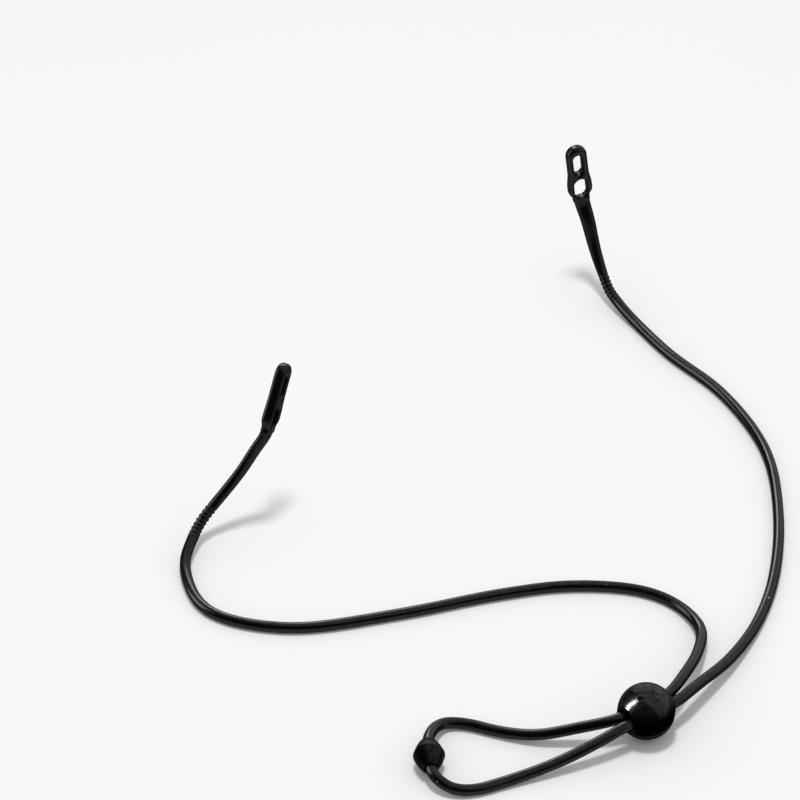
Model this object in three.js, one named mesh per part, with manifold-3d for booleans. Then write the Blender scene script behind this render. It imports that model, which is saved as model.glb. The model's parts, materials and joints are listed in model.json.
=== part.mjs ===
// Eyeglass retainer strap: two silicone cords that meet in an end bead, a slider bead that both cords run
// through, and a moulded grip on each free end that a temple arm is threaded through. The strap lies on
// the plane z = 0 with both grips held up, as if on a pair of open glasses. Millimetres, +Z up.

import * as THREE from "three";
import { mergeVertices } from "three/addons/utils/BufferGeometryUtils.js";
import Module from "manifold-3d";

const wasm = await Module();
wasm.setup();

// Driving dimensions

const CORD_RADIUS = 1.25;
const FIT_GAP = 0.3; // clear space between a cord and the piece that holds it
const BEAD_LEAD = 1.2; // a cord runs straight for this far outside a bead
const COLLAR_LEAD = 2; // and for this far outside a collar

const SLIDER_RADIUS = 6.25;
const SLIDER_RIM_RADIUS = 3.4; // the flat at each mouth of the slider
const BORE_SPACING = 2 * CORD_RADIUS + FIT_GAP; // the two cords lie side by side in the slider
const SLIDER_CENTRE = new THREE.Vector3(-35.6, -62.1, SLIDER_RADIUS);
const SLIDER_HEADING = THREE.MathUtils.degToRad(170); // from the grips' side to the end bead's side

const END_BEAD_LENGTH = 8.4;
const END_BEAD_WAIST_RADIUS = 3.3;
const END_BEAD_MOUTH_RADIUS = 1.85;
const END_BEAD_RIDGE = 0.15; // how far the parting ridge stands out round the waist
const END_BEAD_SWELL_RADIUS = 2.95; // each cone swells a little toward this radius, halfway to its mouth
const END_BEAD_BORE_DEPTH = 3;
const END_BEAD_CENTRE = new THREE.Vector3(-76.6, -36.9, END_BEAD_WAIST_RADIUS + END_BEAD_RIDGE);
const END_BEAD_HEADING = THREE.MathUtils.degToRad(228.6); // from the left cord's mouth to the right cord's

const TAB_THICKNESS = 2.8;
const TAB_EDGE_ROUND = 0.5;
const TAB_TIP_ABOVE_OPENING = 12.8; // from the centre of the temple opening to the tip
const TAB_TIP_HALF_WIDTH = 2.6;
const TAB_SHOULDER_HALF_WIDTH = 3.1; // abreast of the temple opening
const TAB_TURN = THREE.MathUtils.degToRad(24); // each tab is turned this far out of the X-Z plane
const OPENING_WIDTH = 3.2;
const OPENING_HEIGHT = 5.6;
const EYE_WIDTH = 2.2;
const EYE_HEIGHT = 5.8;
const EYE_WALL = 2.4; // between the eye and the tip
const TAB_WAIST_ABOVE_OPENING = 5.6; // where the tab's edge becomes straight, beside the web under the eye
const EDGE_EASE = 2.4; // how gently the tab's edge turns from foot to shoulder to waist

const NECK_HALF_WIDTH = 2; // where the neck leaves the tab
const NECK_HALF_THICKNESS = 1.2;
const NECK_SQUARENESS = 0.5; // 1 is a round section, and smaller is squarer
const NECK_OVERLAP = 3; // the neck starts this far below the opening's centre, inside the tab
const TAB_FOOT = 4.2; // the tab ends this far below the opening's centre
const COLLAR_RADIUS = 1.08; // in the grooves between the ribs
const RIB_RADIUS = 1.28;
const RIB_COUNT = 8;
const RIB_PITCH = 1.12;
const COLLAR_LENGTH = RIB_COUNT * RIB_PITCH;
const CUP_SETBACK = 1.25; // the collar stops this far short of the point that the cord flexes about

// One rib: the radius at each share of the pitch.
const RIB_PROFILE = [
  [0, COLLAR_RADIUS],
  [0.2, RIB_RADIUS],
  [0.6, RIB_RADIUS],
  [0.8, COLLAR_RADIUS],
];

const ROUND_SEGMENTS = 14;
const TURNED_SEGMENTS = 20;
const EDGE_SEGMENTS = 7;
const CONE_SEGMENTS = 4;
const CORD_STEP = 3.2; // length of one facet along a cord
const NECK_STATIONS = 10;
const MERGE_DISTANCE = 1e-4; // corners closer than this are one corner
const CUT_OVERSHOOT = 1; // a bore's cutter reaches this far outside the mouth

// Solids

function toSolid(geometry) {
  const bare = geometry.clone();
  bare.deleteAttribute("normal");
  bare.deleteAttribute("uv");
  const merged = mergeVertices(bare, MERGE_DISTANCE);
  return new wasm.Manifold(
    new wasm.Mesh({
      numProp: 3,
      vertProperties: Float32Array.from(merged.attributes.position.array),
      triVerts: Uint32Array.from(merged.index.array),
    }),
  );
}

function toGeometry(solid) {
  const mesh = solid.getMesh();
  const geometry = new THREE.BufferGeometry();
  geometry.setAttribute("position", new THREE.BufferAttribute(mesh.vertProperties, 3));
  geometry.setIndex(new THREE.BufferAttribute(mesh.triVerts, 1));
  geometry.computeVertexNormals();
  return geometry;
}

// A sphere as a solid, centred on a point.
function ball(centre, radius) {
  const geometry = new THREE.SphereGeometry(radius, ROUND_SEGMENTS, ROUND_SEGMENTS / 2);
  return toSolid(geometry.translate(centre.x, centre.y, centre.z));
}

// A round rod as a solid, from one point to another.
function rod(start, end, radius) {
  const along = end.clone().sub(start);
  const geometry = new THREE.CylinderGeometry(radius, radius, along.length(), TURNED_SEGMENTS);
  const upright = new THREE.Vector3(0, 1, 0);
  const turn = new THREE.Quaternion().setFromUnitVectors(upright, along.clone().normalize());
  const middle = start.clone().add(end).multiplyScalar(0.5);
  return toSolid(geometry.applyQuaternion(turn).translate(middle.x, middle.y, middle.z));
}

// A closed profile turned about a level axis that points along heading.
function turned(profile, centre, heading, segments) {
  const geometry = new THREE.LatheGeometry(profile, segments);
  geometry.rotateZ(-Math.PI / 2).rotateZ(heading);
  return toSolid(geometry.translate(centre.x, centre.y, centre.z));
}

function roundCord(path) {
  const section = new THREE.Shape().absarc(0, 0, CORD_RADIUS, 0, 2 * Math.PI, false);
  const geometry = new THREE.ExtrudeGeometry(section, {
    steps: Math.round(path.getLength() / CORD_STEP),
    curveSegments: ROUND_SEGMENTS / 2,
    bevelEnabled: false,
    extrudePath: path,
  });
  return toSolid(geometry);
}

// Places along the cords

function level(heading) {
  return new THREE.Vector3(Math.cos(heading), Math.sin(heading), 0);
}

function raised(x, y, z) {
  return new THREE.Vector3(x, y, z);
}

function onTable(x, y) {
  return raised(x, y, CORD_RADIUS);
}

const sliderAxis = level(SLIDER_HEADING);
const sliderAcross = level(SLIDER_HEADING - Math.PI / 2);
const sliderHalfLength = Math.sqrt(SLIDER_RADIUS ** 2 - SLIDER_RIM_RADIUS ** 2);
const endBeadAxis = level(END_BEAD_HEADING);

// The centre of one cord at a distance along the slider's axis: side is 1 for the left cord, -1 for
// the right.
function inSlider(side, along) {
  return SLIDER_CENTRE.clone()
    .addScaledVector(sliderAxis, along)
    .addScaledVector(sliderAcross, (side * BORE_SPACING) / 2);
}

// The straight stretch of one cord through the slider, from the neck side to the end bead side.
function throughSlider(side) {
  const lead = sliderHalfLength + BEAD_LEAD;
  return [-lead, 0, lead].map((along) => inSlider(side, along));
}

// The last stretch of one cord, outside and then inside the end bead: side is 1 for the left cord.
function intoEndBead(side) {
  const mouth = END_BEAD_LENGTH / 2;
  const distances = [mouth + BEAD_LEAD, mouth, mouth - END_BEAD_BORE_DEPTH + FIT_GAP];
  return distances.map((along) => END_BEAD_CENTRE.clone().addScaledVector(endBeadAxis, -side * along));
}

// Each side: the middle of the temple opening, the way its tab points up, the line of its neck, and the
// point and direction in which the cord leaves the collar.

const LEFT = {
  side: 1,
  opening: raised(-39.6, 50.2, 27.7),
  tabUp: new THREE.Vector3(0.47, 0.1, 0.88).normalize(),
  neck: [raised(-43.5, 51.1, 20.6), raised(-46.9, 52.4, 15.3), raised(-50.4, 53.5, 11.4)],
  pivot: raised(-62.5, 52.9, 3.5),
  leaving: new THREE.Vector3(-0.87, -0.38, -0.32).normalize(),
};

const RIGHT = {
  side: -1,
  opening: raised(78.4, 64.5, 27.4),
  tabUp: new THREE.Vector3(-0.16, 0.01, 0.98).normalize(),
  neck: [raised(79, 62.2, 19), raised(78.9, 60, 13), raised(78.4, 57.4, 8.4)],
  pivot: raised(75, 47.1, 2.5),
  leaving: new THREE.Vector3(-0.25, -0.93, -0.2).normalize(),
};

const LEFT_RUN = [
  raised(-68.6, 48.9, 1.7),
  onTable(-75, 37.2),
  onTable(-74.6, 29.3),
  onTable(-66.1, 16),
  onTable(-46.1, 2.8),
  onTable(-25, -8.5),
  onTable(-11.8, -17.6),
  onTable(-1.8, -29.9),
  onTable(0.3, -39.2),
  raised(-2.6, -48.6, 1.9),
  raised(-9.8, -54.4, 3.3),
  raised(-20.2, -59.3, 5.4),
];

const LEFT_TAIL = [
  raised(-48.4, -53.8, 4.2),
  raised(-54.6, -47.6, 2.2),
  onTable(-59.2, -39.5),
  onTable(-62.1, -33.2),
  raised(-66.2, -29.9, 1.8),
  raised(-69.4, -31, 2.6),
];

const RIGHT_RUN = [
  raised(73.2, 39.6, 1.4),
  onTable(69.6, 25.5),
  onTable(66.8, 6.4),
  onTable(57.4, -15.5),
  onTable(41.5, -33.4),
  onTable(22.6, -48.3),
  onTable(8.5, -55.8),
  raised(-6.8, -60.9, 2.8),
  raised(-20, -63.4, 5.2),
];

const RIGHT_TAIL = [
  raised(-48.4, -60.8, 5),
  raised(-58, -57.3, 2.7),
  onTable(-69.4, -52.4),
  onTable(-76, -49.6),
  raised(-79.6, -46, 1.9),
];

// A smooth line through points that never sinks below a cord's resting height.
class CordCurve extends THREE.CatmullRomCurve3 {
  getPoint(t, target) {
    const point = super.getPoint(t, target);
    point.z = Math.max(point.z, CORD_RADIUS);
    return point;
  }
}

// The silicone cords, each from the point it flexes about to its bonded end inside the end bead

function cordPath(grip, run, tail) {
  const leaving = grip.pivot.clone().addScaledVector(grip.leaving, COLLAR_LEAD);
  const beads = [...throughSlider(grip.side), ...tail, ...intoEndBead(grip.side)];
  const points = [grip.pivot, leaving, ...run, ...beads];
  return new CordCurve(points, false, "centripetal");
}

function cord(grip, run, tail) {
  return roundCord(cordPath(grip, run, tail)).add(ball(grip.pivot, CORD_RADIUS));
}

// The slider: a ball flattened at both mouths, with a slot of two round bores side by side

function slider() {
  const rimAngle = Math.acos(sliderHalfLength / SLIDER_RADIUS);
  const reach = Math.PI / 2 - rimAngle;
  const outer = new THREE.Path().absarc(0, 0, SLIDER_RADIUS, -reach, reach, false);
  const profile = [
    new THREE.Vector2(0, -sliderHalfLength),
    ...outer.getPoints(ROUND_SEGMENTS),
    new THREE.Vector2(0, sliderHalfLength),
  ];
  let bead = turned(profile, SLIDER_CENTRE, SLIDER_HEADING, 2 * ROUND_SEGMENTS);
  for (const side of [1, -1]) {
    const bore = rod(inSlider(side, -SLIDER_RADIUS), inSlider(side, SLIDER_RADIUS), CORD_RADIUS + FIT_GAP);
    bead = bead.subtract(bore);
  }
  return bead;
}

// The end bead: two rounded cones base to base with a ridge round the waist, and a blind bore in each end

function endBeadProfile() {
  const mouth = END_BEAD_LENGTH / 2;
  const ridge = 2 * END_BEAD_RIDGE;
  const cone = new THREE.QuadraticBezierCurve(
    new THREE.Vector2(END_BEAD_MOUTH_RADIUS, -mouth),
    new THREE.Vector2(END_BEAD_SWELL_RADIUS, -mouth / 2),
    new THREE.Vector2(END_BEAD_WAIST_RADIUS, -ridge),
  );
  const lower = [
    new THREE.Vector2(0, -mouth),
    ...cone.getPoints(CONE_SEGMENTS),
    new THREE.Vector2(END_BEAD_WAIST_RADIUS + END_BEAD_RIDGE, -ridge / 2),
  ];
  const upper = lower.map((point) => new THREE.Vector2(point.x, -point.y)).reverse();
  return [...lower, ...upper];
}

function endBead() {
  let bead = turned(endBeadProfile(), END_BEAD_CENTRE, END_BEAD_HEADING, TURNED_SEGMENTS);
  const mouth = END_BEAD_LENGTH / 2;
  for (const side of [1, -1]) {
    const outside = END_BEAD_CENTRE.clone().addScaledVector(endBeadAxis, side * (mouth + CUT_OVERSHOOT));
    const floor = END_BEAD_CENTRE.clone().addScaledVector(endBeadAxis, side * (mouth - END_BEAD_BORE_DEPTH));
    bead = bead.subtract(rod(outside, floor, CORD_RADIUS + FIT_GAP));
  }
  return bead;
}

// The temple grips

// An upright slot with round ends, as a hole in a flat shape.
function slotHole(centreY, width, height) {
  const radius = width / 2;
  const straight = height / 2 - radius;
  const hole = new THREE.Path();
  hole.absarc(0, centreY + straight, radius, 0, Math.PI, false);
  hole.absarc(0, centreY - straight, radius, Math.PI, 2 * Math.PI, false);
  return hole;
}

// The flat of a tab in its own plane: the temple opening is at the origin and the tip is up.
function tabShape() {
  const edge = new THREE.Path();
  edge.moveTo(NECK_HALF_WIDTH, -TAB_FOOT);
  edge.bezierCurveTo(
    ...[NECK_HALF_WIDTH, EDGE_EASE - TAB_FOOT],
    ...[TAB_SHOULDER_HALF_WIDTH, -EDGE_EASE],
    ...[TAB_SHOULDER_HALF_WIDTH, 0],
  );
  edge.bezierCurveTo(
    ...[TAB_SHOULDER_HALF_WIDTH, EDGE_EASE],
    ...[TAB_TIP_HALF_WIDTH, TAB_WAIST_ABOVE_OPENING - EDGE_EASE],
    ...[TAB_TIP_HALF_WIDTH, TAB_WAIST_ABOVE_OPENING],
  );
  edge.absarc(0, TAB_TIP_ABOVE_OPENING - TAB_TIP_HALF_WIDTH, TAB_TIP_HALF_WIDTH, 0, Math.PI / 2, false);
  const right = edge.getPoints(EDGE_SEGMENTS);
  const left = right.slice(0, -1).map((point) => new THREE.Vector2(-point.x, point.y));
  const shape = new THREE.Shape([...right, ...left.reverse()]);
  const eyeCentre = TAB_TIP_ABOVE_OPENING - EYE_WALL - EYE_HEIGHT / 2;
  shape.holes.push(slotHole(0, OPENING_WIDTH, OPENING_HEIGHT));
  shape.holes.push(slotHole(eyeCentre, EYE_WIDTH, EYE_HEIGHT));
  return shape;
}

// The three directions of a tab: across, up to the tip, and out of its face.
function tabDirections(grip) {
  const facing = level(Math.PI / 2 + grip.side * TAB_TURN);
  const across = grip.tabUp.clone().cross(facing).normalize();
  return { across, up: grip.tabUp, out: across.clone().cross(grip.tabUp) };
}

function tab(grip) {
  const geometry = new THREE.ExtrudeGeometry(tabShape(), {
    depth: TAB_THICKNESS - 2 * TAB_EDGE_ROUND,
    curveSegments: EDGE_SEGMENTS,
    bevelThickness: TAB_EDGE_ROUND,
    bevelSize: TAB_EDGE_ROUND,
    bevelOffset: -TAB_EDGE_ROUND,
    bevelSegments: 1,
  });
  geometry.translate(0, 0, TAB_EDGE_ROUND - TAB_THICKNESS / 2);
  const { across, up, out } = tabDirections(grip);
  const place = new THREE.Matrix4().makeBasis(across, up, out).setPosition(grip.opening);
  return toSolid(geometry.applyMatrix4(place));
}

function neckPath(grip) {
  const underOpening = (below) => grip.opening.clone().addScaledVector(grip.tabUp, -below);
  const inTab = [NECK_OVERLAP, TAB_FOOT].map(underOpening);
  const collarMiddle = grip.pivot.clone().addScaledVector(grip.leaving, -COLLAR_LENGTH / 2);
  const collarEnd = grip.pivot.clone().addScaledVector(grip.leaving, -CUP_SETBACK);
  return new THREE.CatmullRomCurve3([...inTab, ...grip.neck, collarMiddle, collarEnd], false, "centripetal");
}

// The distances along a neck at which its section is set: even steps down the neck, then four for each rib.
function neckStations(length) {
  const collarStart = length - COLLAR_LENGTH;
  const stations = [];
  for (let i = 0; i < NECK_STATIONS; i++) {
    stations.push({ at: (collarStart * i) / NECK_STATIONS, round: i / NECK_STATIONS, radius: COLLAR_RADIUS });
  }
  for (let rib = 0; rib < RIB_COUNT; rib++) {
    const start = collarStart + rib * RIB_PITCH;
    for (const [share, radius] of RIB_PROFILE) {
      stations.push({ at: start + share * RIB_PITCH, round: 1, radius });
    }
  }
  stations.push({ at: length, round: 1, radius: RIB_RADIUS });
  return stations;
}

// One coordinate of a unit circle, moved toward a square with round corners as round goes from 1 to 0.
function squared(coordinate, round) {
  return Math.sign(coordinate) * Math.abs(coordinate) ** THREE.MathUtils.lerp(NECK_SQUARENESS, 1, round);
}

// A closed tube of changing section along the neck: a rounded bar at the tab that becomes a ribbed,
// round collar.
function neckAndCollar(grip) {
  const path = neckPath(grip);
  const length = path.getLength();
  const stations = neckStations(length);
  const rows = stations.length - 1;
  const geometry = new THREE.CylinderGeometry(1, 1, 1, ROUND_SEGMENTS, rows);
  const position = geometry.attributes.position;
  const { across } = tabDirections(grip);
  for (let i = 0; i < position.count; i++) {
    const station = stations[Math.round((0.5 - position.getY(i)) * rows)];
    const tangent = path.getTangentAt(station.at / length);
    const sideways = across.clone().addScaledVector(tangent, -across.dot(tangent)).normalize();
    const outward = tangent.clone().cross(sideways);
    const halfWidth = THREE.MathUtils.lerp(NECK_HALF_WIDTH, station.radius, station.round);
    const halfThickness = THREE.MathUtils.lerp(NECK_HALF_THICKNESS, station.radius, station.round);
    const point = path.getPointAt(station.at / length);
    point.addScaledVector(sideways, squared(position.getX(i), station.round) * halfWidth);
    point.addScaledVector(outward, squared(position.getZ(i), station.round) * halfThickness);
    position.setXYZ(i, point.x, point.y, point.z);
  }
  return toSolid(geometry);
}

function templeGrip(grip) {
  return tab(grip).add(neckAndCollar(grip)).subtract(ball(grip.pivot, CORD_RADIUS + FIT_GAP));
}

// The strap

function silicone(colour, roughness) {
  return new THREE.MeshStandardMaterial({ color: colour, roughness, metalness: 0 });
}

const satinBlack = silicone(0x0d0d0e, 0.5);
const glossBlack = silicone(0x0a0a0b, 0.3);

function piece(name, solid, material) {
  const mesh = new THREE.Mesh(toGeometry(solid), material);
  mesh.name = name;
  return mesh;
}

const strap = new THREE.Group();
strap.add(
  piece("left_temple_grip", templeGrip(LEFT), satinBlack),
  piece("right_temple_grip", templeGrip(RIGHT), satinBlack),
  piece("left_cord", cord(LEFT, LEFT_RUN, LEFT_TAIL), satinBlack),
  piece("right_cord", cord(RIGHT, RIGHT_RUN, RIGHT_TAIL), satinBlack),
  piece("slider_bead", slider(), glossBlack),
  piece("end_bead", endBead(), glossBlack),
);

// The origin is the centre of the strap's footprint, on the table.
const reach = new THREE.Box3().setFromObject(strap, true);
const middle = reach.getCenter(new THREE.Vector3());
strap.position.set(-middle.x, -middle.y, -reach.min.z);

export default strap;
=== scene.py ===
# Eyeglass retainer strap in black silicone: two cords, a slider bead, an end bead and two temple grips,
# lying on a pale table under soft studio light. Lengths are in millimetres unless a name says otherwise.

import json
import math

import bpy
import numpy as np
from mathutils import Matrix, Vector


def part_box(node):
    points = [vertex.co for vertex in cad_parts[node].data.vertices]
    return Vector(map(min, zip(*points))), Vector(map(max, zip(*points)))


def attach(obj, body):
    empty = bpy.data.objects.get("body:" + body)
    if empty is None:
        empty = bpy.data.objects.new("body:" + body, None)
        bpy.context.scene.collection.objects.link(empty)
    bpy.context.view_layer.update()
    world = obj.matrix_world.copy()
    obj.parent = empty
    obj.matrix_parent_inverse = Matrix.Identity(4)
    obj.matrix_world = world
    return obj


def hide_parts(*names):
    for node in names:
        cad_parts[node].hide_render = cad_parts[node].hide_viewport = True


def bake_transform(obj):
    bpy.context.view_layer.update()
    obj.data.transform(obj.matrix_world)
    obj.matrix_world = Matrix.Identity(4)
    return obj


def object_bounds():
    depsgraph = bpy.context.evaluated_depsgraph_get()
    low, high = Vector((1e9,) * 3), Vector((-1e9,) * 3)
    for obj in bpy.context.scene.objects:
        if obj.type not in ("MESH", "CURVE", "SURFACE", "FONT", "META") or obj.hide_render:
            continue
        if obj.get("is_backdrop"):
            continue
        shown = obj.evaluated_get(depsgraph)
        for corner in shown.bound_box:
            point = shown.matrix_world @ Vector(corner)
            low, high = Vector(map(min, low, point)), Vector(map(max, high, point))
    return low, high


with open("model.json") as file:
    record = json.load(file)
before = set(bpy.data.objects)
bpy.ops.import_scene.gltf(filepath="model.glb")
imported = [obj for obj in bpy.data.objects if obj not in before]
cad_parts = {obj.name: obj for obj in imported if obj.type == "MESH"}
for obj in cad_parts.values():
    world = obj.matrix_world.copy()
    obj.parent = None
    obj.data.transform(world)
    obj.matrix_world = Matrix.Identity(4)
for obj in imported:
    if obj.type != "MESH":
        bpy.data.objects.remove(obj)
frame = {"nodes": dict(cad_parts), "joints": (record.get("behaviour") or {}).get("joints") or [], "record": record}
cad_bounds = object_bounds()

MM = 0.001
UP = np.array([0.0, 0.0, 1.0])

CORD_RADIUS = 1.25
CORD_SIDES = 28
CORD_RING_STEP = 0.5
CORD_IN_COLLAR = 1.0  # the cord starts this far inside the collar
CORD_SWELLS = ((0.008, 7.3, 0.0), (0.006, 2.9, 1.0))  # each a share of the radius, a length and a phase

BEAD_SIDES = 96
SLIDER_RADIUS = 6.25
SLIDER_MOUTH_RADIUS = 3.4
SLIDER_SLOT_REACH = 1.4  # from the slot's middle to the centre of each round end
SLIDER_SLOT_RADIUS = 1.5
SLIDER_SLOT_SPREAD = 2.4  # the larger it is, the fewer points lie on the slot's straight sides
SLIDER_GROOVE_DEPTH = 0.07  # the fine parting line round the bead's middle
SLIDER_GROOVE_ANGLE = math.radians(2)
# Rings from a mouth's rim into the slot: the share of slot in the outline, and the height above the rim
SLIDER_LIP = [(0.0, 0), (0.05, 0.13), (0.14, 0.2), (0.26, 0.2), (0.4, 0.1), (0.55, -0.04), (0.72, -0.12)]
SLIDER_SLOT_WALL = [(0.88, -0.2), (0.96, -0.32), (1.0, -0.55), (1.0, -1.2), (1.0, -2.6), (1.0, -4.0)]

END_BEAD_HALF_LENGTH = 4.2
END_BEAD_WAIST = 3.3
END_BEAD_RIDGE = 0.15
END_BEAD_MOUTH = 1.62
END_BEAD_SWELL = 2.95  # each cone swells toward this radius halfway to its mouth
END_BEAD_BORE = 1.27
END_BEAD_BORE_FLOOR = 1.2  # from the bead's middle to the bottom of a bore

TAB_THICKNESS = 2.8
TAB_ROUNDING = 1.05
TAB_TIP = 12.8  # from the middle of the temple opening up to the tip
TAB_TIP_HALF_WIDTH = 2.6
TAB_SHOULDER_HALF_WIDTH = 3.1
TAB_FOOT = 3.9  # below the middle of the opening
TAB_TAPER = 0.25  # how much each face of the tab draws in at its foot
TAB_TAPER_START = 0.5  # below the middle of the opening
TAB_WAIST = 5.6  # above the middle of the opening
TAB_EASE = 2.4  # how far the edge keeps its heading on each side of the shoulder
OPENING_WIDTH = 3.2
OPENING_HEIGHT = 5.6
EYE_WIDTH = 2.2
EYE_HEIGHT = 5.8
EYE_WALL = 2.4
WEB_ABOVE_OPENING = (OPENING_HEIGHT / 2 + TAB_TIP - EYE_WALL - EYE_HEIGHT) / 2  # the mount's point

NECK_HALF_WIDTH = 2.0
NECK_HALF_THICKNESS = 1.2
NECK_START = 3.0  # below the middle of the opening, inside the tab
NECK_CLEAR = 5.0  # below the middle of the opening, where the neck has left the tab
NECK_POWER = 3.0  # the neck's section is a squared oval at the tab and round at the collar
NECK_END_RADIUS = 1.22  # where the neck meets the collar
FILLET = 0.5  # how softly the neck runs into the tab
END_ROUNDING = 0.25  # how softly the collar's edge is rounded
COLLAR_RADIUS = 1.1
RIB_RADIUS = 1.3
RIB_COUNT = 8
RIB_PITCH = 1.12
RIB_PHASE = 0.4  # the middle of the last rib, as a share of the pitch from the collar's end
COLLAR_LENGTH = RIB_COUNT * RIB_PITCH
GRIP_VOXEL = 0.13

# How the middle of a CAD tube is followed: the step, and how near the edges of this stretch pass
CORD_WALK = {"step": 0.8, "reach": 2.4}
NECK_WALK = {"step": 0.5, "reach": 3.2}
NECK_WALK_END = 2.6  # this far from the pivot, short of the cup that holds the cord
FEWEST_CUTS = 8  # a section with fewer is past the end of the tube


# Vectors and meshes


def unit(v):
    v = np.asarray(v, float)
    return v / np.linalg.norm(v)


def named(rows, name):
    return next(row for row in rows if row["name"] == name)


def node_points(name):
    """A CAD node's corners in millimetres, and the pairs of corners that its edges join."""
    mesh = frame["nodes"][name].data
    points = np.empty(3 * len(mesh.vertices))
    mesh.vertices.foreach_get("co", points)
    pairs = np.empty(2 * len(mesh.edges), int)
    mesh.edges.foreach_get("vertices", pairs)
    return points.reshape(-1, 3) / MM, pairs.reshape(-1, 2)


def box_middle(name):
    low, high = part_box(name)
    return (np.array(low) + np.array(high)) / 2 / MM


def new_piece(name, points, faces, uvs=None):
    """A smooth mesh object from points in millimetres. Faces are turned outward if they all face in."""
    points = np.asarray(points, float)
    if enclosed_volume(points, faces) < 0:
        faces = [face[::-1] for face in faces]
        uvs = [corner[::-1] for corner in uvs] if uvs else None
    mesh = bpy.data.meshes.new(name)
    mesh.from_pydata((points * MM).tolist(), [], faces)
    if uvs:
        layer = mesh.uv_layers.new(name="UVMap")
        layer.data.foreach_set("uv", [value for face in uvs for corner in face for value in corner])
    mesh.polygons.foreach_set("use_smooth", [True] * len(mesh.polygons))
    mesh.set_sharp_from_angle(angle=math.radians(55))
    piece = bpy.data.objects.new(name, mesh)
    bpy.context.scene.collection.objects.link(piece)
    return piece


def enclosed_volume(points, faces):
    total = 0.0
    for face in faces:
        corners = points[list(face)]
        for i in range(1, len(face) - 1):
            total += np.dot(corners[0], np.cross(corners[i], corners[i + 1]))
    return total / 6


def skin_over_rings(name, rings, closed=False):
    """A closed skin over a row of rings. A closed row joins end to start; an open one has flat ends."""
    rows, sides, _ = rings.shape
    middles = rings.mean(axis=1)
    along = np.concatenate([[0], np.cumsum(np.linalg.norm(np.diff(middles, axis=0), axis=1))])
    faces, uvs = [], []
    for i in range(rows if closed else rows - 1):
        following = (i + 1) % rows
        for k in range(sides):
            after = (k + 1) % sides
            corners = [(i, k), (i, after), (following, after), (following, k)]
            faces.append(tuple(row * sides + side for row, side in corners))
            left, right = k / sides, (k + 1) / sides
            near, far = along[i], along[following]
            uvs.append(((left, near), (right, near), (right, far), (left, far)))
    if not closed:
        for row, order in ((0, -1), (rows - 1, 1)):
            faces.append(tuple(row * sides + side for side in range(sides))[::order])
            uvs.append(((0.0, along[row]),) * sides)
    return new_piece(name, rings.reshape(-1, 3), faces, uvs)


# Finding the centre lines of the CAD tubes


def section(points, pairs, place, heading, reach):
    """Where the plane through place, square to heading, cuts the edges within reach of place."""
    distance = (points - place) @ heading
    start, end = distance[pairs[:, 0]], distance[pairs[:, 1]]
    crossing = (start < 0) != (end < 0)
    share = (start[crossing] / (start[crossing] - end[crossing]))[:, None]
    first, last = points[pairs[crossing, 0]], points[pairs[crossing, 1]]
    cuts = first + (last - first) * share
    return cuts[np.linalg.norm(cuts - place, axis=1) < reach]


def outline_middle(cuts, heading):
    """The centre of area of the outline that the cuts mark out."""
    middle = cuts.mean(axis=0)
    side = unit(np.cross(heading, UP) if abs(heading[2]) < 0.9 else np.cross(heading, (1, 0, 0)))
    other = np.cross(heading, side)
    x, y = (cuts - middle) @ side, (cuts - middle) @ other
    order = np.argsort(np.arctan2(y, x))
    x, y = x[order], y[order]
    x2, y2 = np.roll(x, -1), np.roll(y, -1)
    twice_area = x * y2 - x2 * y
    whole = twice_area.sum() * 3
    sideways = ((x + x2) * twice_area).sum() / whole
    upward = ((y + y2) * twice_area).sum() / whole
    return middle + side * sideways + other * upward


def walk(name, start, heading, step, reach, stop):
    """The centre line of a CAD tube, from start onward, until stop(place) is true or the tube ends."""
    points, pairs = node_points(name)
    line = [np.asarray(start, float)]
    heading = unit(heading)
    while not stop(line[-1]):
        ahead = line[-1] + heading * step
        cuts = section(points, pairs, ahead, heading, reach)
        if len(cuts) < FEWEST_CUTS:
            break
        place = outline_middle(cuts, heading)
        heading = unit(0.5 * heading + 0.5 * unit(place - line[-1]))
        line.append(place)
    return np.array(line)


def resampled(line, step):
    """The same line with points evenly spaced about a step apart."""
    along = np.concatenate([[0], np.cumsum(np.linalg.norm(np.diff(line, axis=0), axis=1))])
    places = np.linspace(0, along[-1], max(2, round(along[-1] / step) + 1))
    return np.stack([np.interp(places, along, line[:, i]) for i in range(3)], axis=1)


def smoothed(line, rounds):
    """The line with its small kinks relaxed; its ends stay."""
    line = line.copy()
    for _ in range(rounds):
        line[1:-1] += 0.5 * ((line[:-2] + line[2:]) / 2 - line[1:-1])
    return line


def tangents(line):
    ahead = np.gradient(line, axis=0)
    return ahead / np.linalg.norm(ahead, axis=1)[:, None]


# The cords

slide_axis = unit(named(frame["joints"], "slider_slide")["axis"])
slider_middle = box_middle("slider_bead")
end_bead_middle = box_middle("end_bead")


def pivot_of(side):
    return np.array(named(frame["joints"], side + "_grip_flex")["pos_m"]) / MM


def direction_from_pivot(node, pivot, nearest=2.0, furthest=6.0):
    """The way a CAD tube leads away from a pivot at its end, from its corners in that range."""
    points, _ = node_points(node)
    distance = np.linalg.norm(points - pivot, axis=1)
    near = points[(distance > nearest) & (distance < furthest)]
    return unit(near.mean(axis=0) - pivot)


def cord_line(side):
    """One cord's centre line, from its pivot to its end inside the end bead."""
    node, pivot = side + "_cord", pivot_of(side)
    heading = direction_from_pivot(node, pivot)
    past_the_cup = pivot + 1.5 * heading
    line = walk(node, past_the_cup, heading, **CORD_WALK, stop=lambda place: False)
    line = np.vstack([pivot - CORD_IN_COLLAR * heading, pivot, line])
    line = smoothed(resampled(line, CORD_RING_STEP), rounds=12)
    line[:, 2] = np.maximum(line[:, 2], CORD_RADIUS)
    return line


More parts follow.
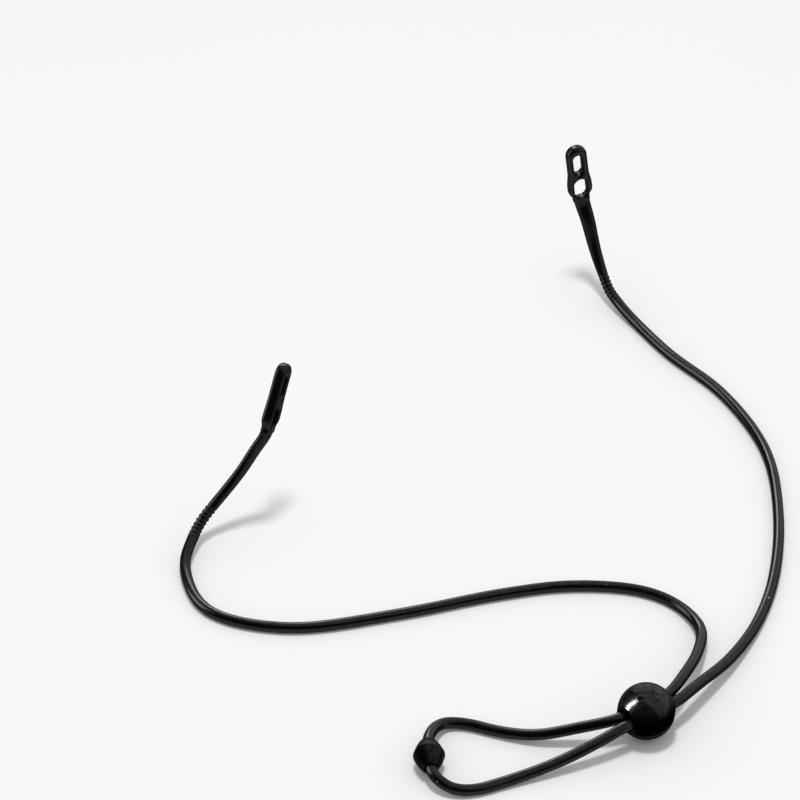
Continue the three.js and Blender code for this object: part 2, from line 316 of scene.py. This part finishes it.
def cord_rings(line):
    """Round sections along a line, with the slight unevenness of drawn silicone."""
    ahead = tangents(line)
    side = np.cross(ahead, UP)
    side /= np.linalg.norm(side, axis=1)[:, None]
    top = np.cross(side, ahead)
    along = np.arange(len(line)) * CORD_RING_STEP
    swell = sum(share * np.sin(along / length + phase) for share, length, phase in CORD_SWELLS)
    radius = CORD_RADIUS * (1 + swell)
    turn = 2 * math.pi * np.arange(CORD_SIDES) / CORD_SIDES
    around = side[:, None] * np.cos(turn)[:, None] + top[:, None] * np.sin(turn)[:, None]
    return line[:, None] + around * radius[:, None, None]


def cord_pieces(side):
    """A cord in two pieces, the run to the grip and the tail, that meet unseen inside the slider."""
    line = cord_line(side)
    past = (line - slider_middle) @ slide_axis
    beside = np.linalg.norm(line - slider_middle, axis=1) < SLIDER_RADIUS
    split = int(np.argmin(np.where(beside, np.abs(past), np.inf)))
    run = skin_over_rings(side + "_cord_run", cord_rings(line[: split + 1]))
    tail = skin_over_rings(side + "_cord_tail", cord_rings(line[split:]))
    return run, tail


# The slider bead


def slider_outline(share, radius):
    """The ring between a circle and the slot: share is 0 for the circle and 1 for the slot."""
    turn = 2 * math.pi * np.arange(BEAD_SIDES) / BEAD_SIDES
    circle = np.stack([np.cos(turn), np.sin(turn)], axis=1)
    reach = SLIDER_SLOT_REACH * np.clip(SLIDER_SLOT_SPREAD * np.cos(turn), -1, 1)
    slot = circle * SLIDER_SLOT_RADIUS + np.stack([reach, 0 * reach], axis=1)
    return circle * radius * (1 - share) + slot * share


def slider_profile():
    """Rings from the middle of the bead, over its outside and round one mouth into the slot.

    Each is the distance along the axis, the share of slot in the outline, and the circle's radius."""
    half = math.sqrt(SLIDER_RADIUS**2 - SLIDER_MOUTH_RADIUS**2)
    mouth_angle = math.asin(SLIDER_MOUTH_RADIUS / SLIDER_RADIUS)
    rings = []
    for angle in np.radians([90, 88.8, 87.8, 86.5]):
        groove = SLIDER_GROOVE_DEPTH * max(0, 1 - (math.pi / 2 - angle) / SLIDER_GROOVE_ANGLE)
        rings.append((SLIDER_RADIUS * math.cos(angle), 0, SLIDER_RADIUS * math.sin(angle) - groove))
    for angle in np.linspace(math.radians(84), mouth_angle + 0.03, 20):
        rings.append((SLIDER_RADIUS * math.cos(angle), 0, SLIDER_RADIUS * math.sin(angle)))
    for share, height in SLIDER_LIP + SLIDER_SLOT_WALL:
        rings.append((half + height, share, SLIDER_MOUTH_RADIUS))
    return rings


def slider_bead():
    across = np.cross(slide_axis, UP)
    half = slider_profile()
    other = [(-along, share, radius) for along, share, radius in half[:0:-1]]
    rings = []
    for along, share, radius in half + other:
        outline = slider_outline(share, radius)
        ring = slider_middle + slide_axis * along
        rings.append(ring + outline[:, :1] * across + outline[:, 1:] * UP)
    return skin_over_rings("slider_bead_ball", np.array(rings), closed=True)


# The end bead


def end_bead_profile():
    """Distance along and radius, from the bottom of one bore, round its mouth and up to the waist."""
    mouth = END_BEAD_HALF_LENGTH
    floor_middle = 0.4
    bore = [(END_BEAD_BORE_FLOOR, floor_middle), (END_BEAD_BORE_FLOOR, END_BEAD_BORE)]
    lip = [(mouth - 0.3, END_BEAD_BORE), (mouth - 0.06, END_BEAD_BORE + 0.06)]
    lip += [(mouth + 0.03, END_BEAD_BORE + 0.16), (mouth, END_BEAD_MOUTH - 0.06)]
    cone = []
    for t in np.linspace(0.04, 1, 14):
        radius = (1 - t) ** 2 * END_BEAD_MOUTH + 2 * t * (1 - t) * END_BEAD_SWELL + t**2 * END_BEAD_WAIST
        along = (1 - t) ** 2 * mouth + 2 * t * (1 - t) * mouth / 2 + t**2 * 0.3
        cone.append((along, radius))
    crest = END_BEAD_WAIST + END_BEAD_RIDGE
    ridge = [(0.2, END_BEAD_WAIST + 0.03), (0.13, crest - 0.03), (0.07, crest)]
    return bore + lip + cone + ridge


def end_bead(axis):
    half = end_bead_profile()
    profile = half + [(-along, radius) for along, radius in reversed(half)]
    side = unit(np.cross(axis, UP))
    turn = 2 * math.pi * np.arange(BEAD_SIDES) / BEAD_SIDES
    around = np.cos(turn)[:, None] * side + np.sin(turn)[:, None] * np.cross(side, axis)
    rings = [end_bead_middle + axis * along + around * radius for along, radius in profile]
    return skin_over_rings("end_bead_cone", np.array(rings))


# The temple grips


class Tab:
    """The place and directions of one grip's tab, from its mount and the flat face the mount is on."""

    def __init__(self, side):
        face = named(frame["record"]["mounts"], side + "_tab_face")
        web = np.array(face["pos_m"]) / MM
        self.out = unit(face["axis"])
        points, _ = node_points(side + "_temple_grip")
        flat = np.unique(points[np.abs((points - web) @ self.out) < 0.03].round(3), axis=0)
        up = unit(web - pivot_of(side))
        for _ in range(6):  # up turns toward the part of the flat face above the web
            up = unit(up - (up @ self.out) * self.out)
            above = flat[(flat - web) @ up > 0.5]
            up = unit(above.mean(axis=0) - web)
        self.up = unit(up - (up @ self.out) * self.out)
        self.across = np.cross(self.up, self.out)
        self.opening = web - WEB_ABOVE_OPENING * self.up - TAB_THICKNESS / 2 * self.out

    def local(self, points):
        offset = points - self.opening
        return offset @ self.across, offset @ self.up, offset @ self.out


def tab_edge():
    """The right-hand edge of a tab in its own plane, from its foot to its tip."""

    def curve(start, lead, arrive, end):
        t = np.linspace(0, 1, 10)[:, None]
        weights = ((1 - t) ** 3, 3 * t * (1 - t) ** 2, 3 * t * t * (1 - t), t**3)
        return sum(w * np.array(p) for w, p in zip(weights, (start, lead, arrive, end)))

    foot, shoulder = (NECK_HALF_WIDTH, -TAB_FOOT), (TAB_SHOULDER_HALF_WIDTH, 0.0)
    waist = (TAB_TIP_HALF_WIDTH, TAB_WAIST)
    lower = curve(foot, (foot[0], foot[1] + TAB_EASE), (shoulder[0], -TAB_EASE), shoulder)
    upper = curve(shoulder, (shoulder[0], TAB_EASE), (waist[0], waist[1] - TAB_EASE), waist)
    turn = np.linspace(0, math.pi / 2, 14)[:, None]
    tip = TAB_TIP_HALF_WIDTH * np.hstack([np.cos(turn), np.sin(turn)])
    return np.vstack([lower, upper[1:], tip + (0, TAB_TIP - TAB_TIP_HALF_WIDTH)])


def distance_to_outline(x, y, outline):
    """Distance to a closed outline, negative inside it."""
    best = np.full(len(x), np.inf)
    inside = np.zeros(len(x), bool)
    for (x1, y1), (x2, y2) in zip(outline, np.roll(outline, -1, axis=0)):
        dx, dy = x2 - x1, y2 - y1
        share = np.clip(((x - x1) * dx + (y - y1) * dy) / (dx * dx + dy * dy), 0, 1)
        best = np.minimum(best, (x - x1 - share * dx) ** 2 + (y - y1 - share * dy) ** 2)
        if dy:
            inside ^= ((y1 > y) != (y2 > y)) & (x < x1 + dx * (y - y1) / dy)
    return np.where(inside, -1, 1) * np.sqrt(best)


def distance_to_slot(x, y, middle, width, height):
    radius = width / 2
    beyond = np.maximum(np.abs(y - middle) - (height / 2 - radius), 0)
    return np.hypot(x, beyond) - radius


def tab_field(tab, points):
    """Distance to the surface of a tab with round edges, negative inside it."""
    x, y, z = tab.local(points)
    edge = tab_edge()
    outline = np.vstack([edge, (edge * (-1, 1))[-2::-1]])
    flat = distance_to_outline(x, y, outline)
    eye = TAB_TIP - EYE_WALL - EYE_HEIGHT / 2
    flat = np.maximum(flat, -distance_to_slot(x, y, 0, OPENING_WIDTH, OPENING_HEIGHT))
    flat = np.maximum(flat, -distance_to_slot(x, y, eye, EYE_WIDTH, EYE_HEIGHT))
    drawn_in = TAB_TAPER * np.clip((-y - TAB_TAPER_START) / (TAB_FOOT - TAB_TAPER_START), 0, 1)
    a, b = flat + TAB_ROUNDING, np.abs(z) + drawn_in - (TAB_THICKNESS / 2 - TAB_ROUNDING)
    return np.minimum(np.maximum(a, b), 0) + np.hypot(np.maximum(a, 0), np.maximum(b, 0)) - TAB_ROUNDING


def rib_radius(back):
    """The collar's radius at a distance back from its end: soft rounded ribs with grooves between."""
    wave = np.cos(2 * math.pi * (back / RIB_PITCH - RIB_PHASE))
    rise = np.clip(0.6 + 0.8 * wave, 0, 1)  # the crests and the grooves are cut flat
    return COLLAR_RADIUS + (RIB_RADIUS - COLLAR_RADIUS) * rise


def neck_field(tab, line, points):
    """Distance, near enough, to the neck and its ribbed collar, negative inside."""
    ahead = tangents(line)
    along = np.concatenate([[0], np.cumsum(np.linalg.norm(np.diff(line, axis=0), axis=1))])
    nearest = np.empty(len(points), int)
    for block in np.array_split(np.arange(len(points)), 1 + len(points) // 4000):
        nearest[block] = ((points[block, None] - line) ** 2).sum(axis=2).argmin(axis=1)
    offset = points - line[nearest]
    forward = ahead[nearest]
    slip = (offset * forward).sum(axis=1)
    back = along[-1] - along[nearest] - slip
    offset = offset - slip[:, None] * forward
    side = tab.across - (forward @ tab.across)[:, None] * forward
    side /= np.linalg.norm(side, axis=1)[:, None]
    u, v = (offset * side).sum(axis=1), (offset * np.cross(forward, side)).sum(axis=1)
    squareness = np.clip((back - COLLAR_LENGTH) / (along[-1] - COLLAR_LENGTH), 0, 1)
    radius = np.where(back < COLLAR_LENGTH, rib_radius(back), NECK_END_RADIUS)
    width = radius + (NECK_HALF_WIDTH - radius) * squareness
    thickness = radius + (NECK_HALF_THICKNESS - radius) * squareness
    power = 2 + (NECK_POWER - 2) * squareness
    size = (np.abs(u / width) ** power + np.abs(v / thickness) ** power) ** (1 / power)
    tube = (size - 1) * np.minimum(width, thickness)
    return soft_cut(tube, np.maximum(-back, back - along[-1]), END_ROUNDING)


def soft_join(a, b, blend):
    """The distance to two solids joined with a fillet about blend wide, from the distances to each."""
    mix = np.clip(0.5 + 0.5 * (b - a) / blend, 0, 1)
    return b + (a - b) * mix - blend * mix * (1 - mix)


def soft_cut(a, b, blend):
    """The distance to what two solids share, with its edge rounded over about blend."""
    return -soft_join(-a, -b, blend)


def neck_line(side, tab):
    """The centre line of a neck, from inside the tab's foot down to the pivot."""
    foot = tab.opening - NECK_CLEAR * tab.up
    pivot = pivot_of(side)
    near_pivot = lambda place: np.linalg.norm(place - pivot) < NECK_WALK_END
    line = walk(side + "_temple_grip", foot, -tab.up, **NECK_WALK, stop=near_pivot)
    top = tab.opening - NECK_START * tab.up
    return smoothed(resampled(np.vstack([top, line, pivot]), step=0.2), rounds=150)


def remeshed(piece, voxel):
    """The piece's shape with an even mesh, as points in millimetres and faces."""
    modifier = piece.modifiers.new("even mesh", "REMESH")
    modifier.mode = "VOXEL"
    modifier.voxel_size = voxel * MM
    shape = piece.evaluated_get(bpy.context.evaluated_depsgraph_get()).to_mesh()
    points = np.array([v.co for v in shape.vertices]) / MM
    faces = [tuple(p.vertices) for p in shape.polygons]
    return points, faces


def rough_grip(side, pivot, leaving):
    """The CAD grip with the cup at its end filled, to be given an even mesh."""
    points, _ = node_points(side + "_temple_grip")
    mesh = frame["nodes"][side + "_temple_grip"].data
    corners, index = np.unique(points.round(3), axis=0, return_inverse=True)
    index = index.ravel()
    faces = [tuple(int(index[v]) for v in p.vertices) for p in mesh.polygons]
    faces = [face for face in faces if len(set(face)) == len(face)]
    sides, plug_radius, plug_span = 16, 1.35, (-3.0, -0.1)
    sideways = unit(np.cross(leaving, UP))
    turn = 2 * math.pi * np.arange(sides) / sides
    around = np.cos(turn)[:, None] * sideways + np.sin(turn)[:, None] * np.cross(sideways, leaving)
    plug = [pivot + leaving * along + around * plug_radius for along in plug_span]
    low = range(len(corners), len(corners) + sides)
    high = range(low.stop, low.stop + sides)
    for k in range(sides):
        after = (k + 1) % sides
        faces.append((low[k], low[after], high[after], high[k]))
    faces += [tuple(reversed(low)), tuple(high)]
    return new_piece(side + "_rough", np.vstack([corners, *plug]), faces)


def pulled_onto(field, points, rounds=6, furthest=0.3):
    """Moves points onto the surface where the field is zero, at most about furthest in each round."""
    nudge = 0.02
    least_slope = 0.25
    for _ in range(rounds):
        value = field(points)
        slope = np.stack([(field(points + nudge * axis) - value) / nudge for axis in np.eye(3)], axis=1)
        move = value / np.maximum((slope**2).sum(axis=1), least_slope)
        points = points - np.clip(move, -furthest, furthest)[:, None] * slope
    return points


def temple_grip(side):
    pivot = pivot_of(side)
    leaving = direction_from_pivot(side + "_cord", pivot)
    tab = Tab(side)
    line = neck_line(side, tab)
    rough = rough_grip(side, pivot, leaving)
    points, faces = remeshed(rough, GRIP_VOXEL)
    bpy.data.objects.remove(rough)

    def grip_field(places):
        return soft_join(tab_field(tab, places), neck_field(tab, line, places), FILLET)

    return new_piece(side + "_grip_moulding", pulled_onto(grip_field, points), faces)


# Materials


class Shader:
    """A small helper that adds nodes to a material and joins them."""

    def __init__(self, tree):
        self.tree = tree

    def connect(self, node, inputs):
        """Gives a node its inputs: a socket is joined, and any other value is set."""
        for key, value in dict(inputs).items():
            if isinstance(value, bpy.types.NodeSocket):
                self.tree.links.new(value, node.inputs[key])
            else:
                node.inputs[key].default_value = value

    def add(self, kind, inputs=(), **settings):
        made = self.tree.nodes.new(kind)
        for key, value in settings.items():
            setattr(made, key, value)
        self.connect(made, inputs)
        return made

    def math(self, operation, *values, clamp=False):
        settings = {"operation": operation, "use_clamp": clamp}
        return self.add("ShaderNodeMath", enumerate(values), **settings).outputs[0]

    def dot(self, vector, way):
        inputs = {0: vector, 1: tuple(way)}
        return self.add("ShaderNodeVectorMath", inputs, operation="DOT_PRODUCT").outputs["Value"]

    def ramp(self, value, low, high):
        """0 at low, 1 at high, with soft ends."""
        if low > high:
            value, low, high = self.math("MULTIPLY", value, -1.0), -low, -high
        inputs = {"Value": value, "From Min": low, "From Max": high}
        return self.add("ShaderNodeMapRange", inputs, interpolation_type="SMOOTHSTEP").outputs["Result"]

    def noise(self, place, scale, detail=3.0, distortion=0.0):
        inputs = {"Vector": place, "Scale": scale, "Detail": detail, "Roughness": 0.6}
        inputs["Distortion"] = distortion
        return self.add("ShaderNodeTexNoise", inputs).outputs["Fac"]

    def mix(self, share, first, second):
        """A colour between first and second; a mix node's colour sockets are its seventh and eighth."""
        inputs = {0: share, 6: first, 7: second}
        return self.add("ShaderNodeMix", inputs, data_type="RGBA").outputs[2]


def grey(value, blue=1.0):
    return (value, value, value * blue, 1.0)


def new_material(name):
    material = bpy.data.materials.new(name)
    material.use_nodes = True
    material.node_tree.nodes.clear()
    shader = Shader(material.node_tree)
    surface = shader.add("ShaderNodeBsdfPrincipled")
    output = shader.add("ShaderNodeOutputMaterial")
    material.node_tree.links.new(surface.outputs[0], output.inputs["Surface"])
    return material, shader, surface


def dust_specks(shader, place):
    """1 on a few small round specks and 0 elsewhere."""
    cells = shader.add("ShaderNodeTexVoronoi", {"Vector": place, "Scale": 310.0, "Randomness": 1.0})
    chance = shader.add("ShaderNodeSeparateColor", {0: cells.outputs["Color"]}).outputs["Red"]
    rare = shader.math("GREATER_THAN", chance, 0.8)
    dot = shader.math("SUBTRACT", 1.0, shader.ramp(cells.outputs["Distance"], 0.05, 0.08))
    return shader.math("MULTIPLY", rare, dot)


def share_mirrored(shader, facing, underside):
    """1 where a surface faces up, more on a lower rim seen at a slant, and underside elsewhere."""
    slant = shader.add("ShaderNodeLayerWeight", {"Blend": 0.5}).outputs["Facing"]
    rim = shader.math("MULTIPLY", shader.ramp(slant, 0.5, 0.7), shader.ramp(facing, -0.15, -0.35))
    on_top = shader.ramp(facing, 0.3, 0.55)
    seen = shader.math("MAXIMUM", on_top, shader.math("MULTIPLY", rim, 2.0))
    return shader.math("MULTIPLY_ADD", seen, 1.0 - underside, underside)


def silicone(name, gloss, painted_top_sheen, shine, patchiness=0.3, drawn_lines=0.0, underside=1.0):
    """Black silicone with mottled gloss, a painted sheen on top, a fine tooth and rare dust specks.

    gloss is its smoothness, shine how strongly it mirrors, and patchiness how unevenly it does so on top.
    painted_top_sheen is how far the colour is painted lighter on upward faces, in mottled patches: a painted sheen
    of the light from above. drawn_lines is the depth of the lines along the piece, and underside the share of the
    shine that is left below."""
    material, shader, surface = new_material(name)
    place = shader.add("ShaderNodeTexCoord").outputs["Object"]
    mottle = shader.noise(place, 900.0, 8.0, distortion=0.8)
    tooth = shader.noise(place, 3800.0, 5.0)
    normal = shader.add("ShaderNodeNewGeometry").outputs["Normal"]
    facing = shader.add("ShaderNodeSeparateXYZ", {0: normal}).outputs["Z"]
    upward = shader.ramp(facing, 0.15, 0.95)
    # Painted sheen: upward faces get a lighter, slightly blue colour in mottled patches, standing in for the light
    # from above mirrored on the tops.
    painted_sheen_patches = shader.math("MULTIPLY", upward, shader.ramp(mottle, 0.25, 0.75))
    black = shader.mix(shader.math("MULTIPLY", painted_sheen_patches, painted_top_sheen), grey(0.0005, 1.1), grey(0.009, 1.2))
    dust = shader.math("MULTIPLY", dust_specks(shader, place), upward)
    colour = shader.mix(dust, black, grey(0.3))
    uneven = shader.math("SUBTRACT", mottle, 0.5)
    rough = shader.math("MULTIPLY_ADD", uneven, 0.14, 1.0 - gloss)
    rough = shader.math("MULTIPLY_ADD", dust, 0.4, rough, clamp=True)
    height = shader.math("MULTIPLY", tooth, 0.6)
    if drawn_lines:
        uv = shader.add("ShaderNodeTexCoord").outputs["UV"]
        stretched = shader.add("ShaderNodeMapping", {"Vector": uv, "Scale": (60.0, 0.18, 1.0)}).outputs[0]
        lines = shader.math("MULTIPLY", shader.noise(stretched, 1.0), drawn_lines)
        height = shader.math("ADD", height, lines)
    height = shader.math("ADD", height, shader.math("MULTIPLY", dust, 1.5))
    bump = shader.add("ShaderNodeBump", {"Height": height, "Strength": 0.35, "Distance": 0.00003})
    patches = shader.math("MULTIPLY", shader.ramp(facing, 0.6, 0.8), patchiness)
    mirror = shader.math("MULTIPLY_ADD", uneven, patches, shine)
    mirror = shader.math("MULTIPLY", mirror, share_mirrored(shader, facing, underside), clamp=True)
    inputs = {"Base Color": colour, "Roughness": rough, "Normal": bump.outputs[0]}
    shader.connect(surface, inputs | {"Specular IOR Level": mirror})
    return material


def cord_silicone():
    return silicone("cord_black", gloss=0.78, painted_top_sheen=0.5, shine=0.25, drawn_lines=1.0)


def slider_silicone():
    return silicone("slider_black", gloss=0.82, painted_top_sheen=1.0, shine=0.24, patchiness=1.3, underside=0.0)


def end_bead_silicone():
    return silicone("end_bead_black", gloss=0.75, painted_top_sheen=0.4, shine=0.13, underside=0.8)


def grip_silicone():
    return silicone("grip_black", gloss=0.74, painted_top_sheen=0.5, shine=0.22)


def table_top():
    """A pale matt table: faint tonal drift and a very fine tooth."""
    material, shader, surface = new_material("pale_table")
    place = shader.add("ShaderNodeTexCoord").outputs["Object"]
    drift = shader.noise(place, 6.0, 2.0)
    tooth = shader.noise(place, 2600.0, 4.0)
    colour = shader.mix(drift, grey(0.80, 0.998), grey(0.82, 0.998))
    bump = shader.add("ShaderNodeBump", {"Height": tooth, "Strength": 0.06, "Distance": 0.00005})
    inputs = {"Base Color": colour, "Roughness": 0.75, "Normal": bump.outputs[0]}
    shader.connect(surface, inputs | {"Specular IOR Level": 0.2})
    dimmed_far_away(material, shader, surface, share=0.16)
    return material


def dimmed_far_away(material, shader, surface, share):
    """Where gloss mirrors the table beyond it, only a share of its light shows."""
    is_glossy = shader.add("ShaderNodeLightPath").outputs["Is Glossy Ray"]
    black = shader.add("ShaderNodeEmission", {"Strength": 0.0})
    back = shader.add("ShaderNodeNewGeometry").outputs["Incoming"]
    travel = shader.dot(back, AHEAD)
    dark = shader.math("MULTIPLY_ADD", shader.ramp(travel, -0.1, 0.3), share - 1.0, 1.0 - share)
    blocked = shader.math("MULTIPLY", is_glossy, dark)
    both = shader.add("ShaderNodeMixShader", {0: blocked, 1: surface.outputs[0], 2: black.outputs[0]})
    output = next(n for n in material.node_tree.nodes if n.type == "OUTPUT_MATERIAL")
    material.node_tree.links.new(both.outputs[0], output.inputs["Surface"])


def finish_piece(piece, material):
    piece.data.materials.clear()
    piece.data.materials.append(material)


# Putting the strap together


def add_cords(material):
    made = []
    for side in ("left", "right"):
        run, tail = cord_pieces(side)
        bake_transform(run)
        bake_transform(tail)
        for piece in (run, tail):
            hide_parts(side + "_cord")
            finish_piece(piece, material)
            made.append(piece)
    return made


def add_beads(slider_material, end_bead_material):
    slider = slider_bead()
    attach(slider, "slider")
    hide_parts("slider_bead")
    finish_piece(slider, slider_material)
    left_end = cord_line("left")[-1]
    right_end = cord_line("right")[-1]
    bead = end_bead(unit((left_end - right_end) * (1, 1, 0)))
    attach(bead, "cord_loop")
    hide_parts("end_bead")
    finish_piece(bead, end_bead_material)
    return slider


def add_grips(material):
    made = []
    for side in ("left", "right"):
        grip = temple_grip(side)
        pivot = pivot_of(side)
        leaving = direction_from_pivot(side + "_cord", pivot)
        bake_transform(grip)
        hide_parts(side + "_temple_grip")
        finish_piece(grip, material)
        made.append(grip)
    return made


# The table, the light and the camera


def add_table():
    half = 3.0  # metres
    corners = [(-half, -half, 0), (half, -half, 0), (half, half, 0), (-half, half, 0)]
    mesh = bpy.data.meshes.new("table")
    mesh.from_pydata(corners, [], [(0, 1, 2, 3)])
    table = bpy.data.objects.new("table", mesh)
    bpy.context.scene.collection.objects.link(table)
    mesh.materials.append(table_top())
    table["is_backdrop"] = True


VIEW_HEADING = math.radians(45)  # the camera looks this way across the table
VIEW_PITCH = math.radians(37)
VIEW_DISTANCE = 0.982
VIEW_LENS = 184.5
VIEW_AIM = (0.0114, 0.0607, 0.0)  # metres from the middle of the strap
WORLD_LIGHT = 0.69
MIRRORED_BRIGHT_SIDE = 0.92
MIRRORED_DARK_SIDE = 0.002
AHEAD = np.array([math.cos(VIEW_HEADING), math.sin(VIEW_HEADING), 0.0])
TO_RIGHT = np.array([math.sin(VIEW_HEADING), -math.cos(VIEW_HEADING), 0.0])


def look(thing, place, target):
    """Puts a camera or a lamp at place, facing target; both in metres."""
    direction = Vector(np.array(target) - np.array(place))
    thing.location = place
    thing.rotation_euler = direction.to_track_quat("-Z", "Y").to_euler()


def add_camera():
    data = bpy.data.cameras.new("camera")
    data.lens = VIEW_LENS
    data.clip_start = 0.01
    camera = bpy.data.objects.new("camera", data)
    bpy.context.scene.collection.objects.link(camera)
    back = -math.cos(VIEW_PITCH) * AHEAD + math.sin(VIEW_PITCH) * UP
    look(camera, np.array(VIEW_AIM) + VIEW_DISTANCE * back, VIEW_AIM)
    bpy.context.scene.camera = camera


def area_light(name, place, target, size, watts, glossy=True, diffuse=True, lights_only=None):
    """A flat lamp: size is one number for a disc, or a width and a height for an upright panel."""
    data = bpy.data.lights.new(name, "AREA")
    if isinstance(size, tuple):
        data.shape = "RECTANGLE"
        data.size, data.size_y = size
    else:
        data.shape = "DISK"
        data.size = size
    data.energy = watts
    light = bpy.data.objects.new(name, data)
    bpy.context.scene.collection.objects.link(light)
    look(light, place, target)
    light.visible_glossy = glossy
    light.visible_diffuse = diffuse
    light.visible_camera = False
    if lights_only:
        lit = bpy.data.collections.new(name + "_receivers")
        for piece in lights_only:
            lit.objects.link(piece)
        light.light_linking.receiver_collection = lit


def add_lights(slider, thin_pieces):
    """A lamp overhead for the table and its shadows, and panels that only show as highlights."""
    aim = np.array(VIEW_AIM)

    def highlight(name, place, target, size, watts, lights_only):
        area_light(name, place, target, size, watts, diffuse=False, lights_only=lights_only)

    overhead = aim + 1.1 * UP - 0.04 * AHEAD
    area_light("overhead_key", overhead, aim, 0.2, 5.9, glossy=False)
    panel = aim - 0.8 * TO_RIGHT - 0.1 * AHEAD + 0.58 * UP
    highlight("slider_panel", panel, panel + TO_RIGHT, (0.17, 1.25), 90.0, [slider])
    wall = aim - 0.9 * TO_RIGHT + 0.1 * AHEAD + 0.35 * UP
    highlight("thin_piece_panel", wall, wall + TO_RIGHT, (0.5, 1.2), 9.0, thin_pieces)
    bend = aim - 0.055 * TO_RIGHT - 0.045 * AHEAD
    beyond = bend + 0.45 * (0.8 * AHEAD + 0.6 * UP)
    highlight("far_lamp", beyond, bend, 0.16, 0.6, thin_pieces)


def add_world():
    """Even pale light all round. Gloss mirrors a bright far right side and a dark near left."""
    world = bpy.data.worlds.new("studio")
    bpy.context.scene.world = world
    world.use_nodes = True
    world.node_tree.nodes.clear()
    shader = Shader(world.node_tree)
    direction = shader.add("ShaderNodeTexCoord").outputs["Generated"]
    bright_side = unit(0.564 * AHEAD + 0.681 * TO_RIGHT + 0.466 * UP)
    wall = shader.ramp(shader.dot(direction, bright_side), 0.2, 0.32)
    mirrored = shader.math("MULTIPLY_ADD", wall, MIRRORED_BRIGHT_SIDE, MIRRORED_DARK_SIDE)
    is_glossy = shader.add("ShaderNodeLightPath").outputs["Is Glossy Ray"]
    difference = shader.math("SUBTRACT", mirrored, WORLD_LIGHT)
    strength = shader.math("MULTIPLY_ADD", is_glossy, difference, WORLD_LIGHT)
    tint = shader.mix(is_glossy, grey(1.0), (1.0, 0.975, 1.05, 1.0))
    background = shader.add("ShaderNodeBackground", {"Color": tint, "Strength": strength})
    output = shader.add("ShaderNodeOutputWorld")
    world.node_tree.links.new(background.outputs[0], output.inputs["Surface"])


def write_size():
    """Works out the CAD box and the visual model's box, in metres, and keeps neither."""
    plain = lambda bounds: [[float(value) for value in corner] for corner in bounds]
    {"cad": plain(cad_bounds), "visual": plain(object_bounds())}


cords = add_cords(cord_silicone())
slider = add_beads(slider_silicone(), end_bead_silicone())
grips = add_grips(grip_silicone())
add_table()
add_camera()
add_lights(slider, cords + grips)
add_world()
bpy.context.scene.view_settings.view_transform = "Standard"
write_size()
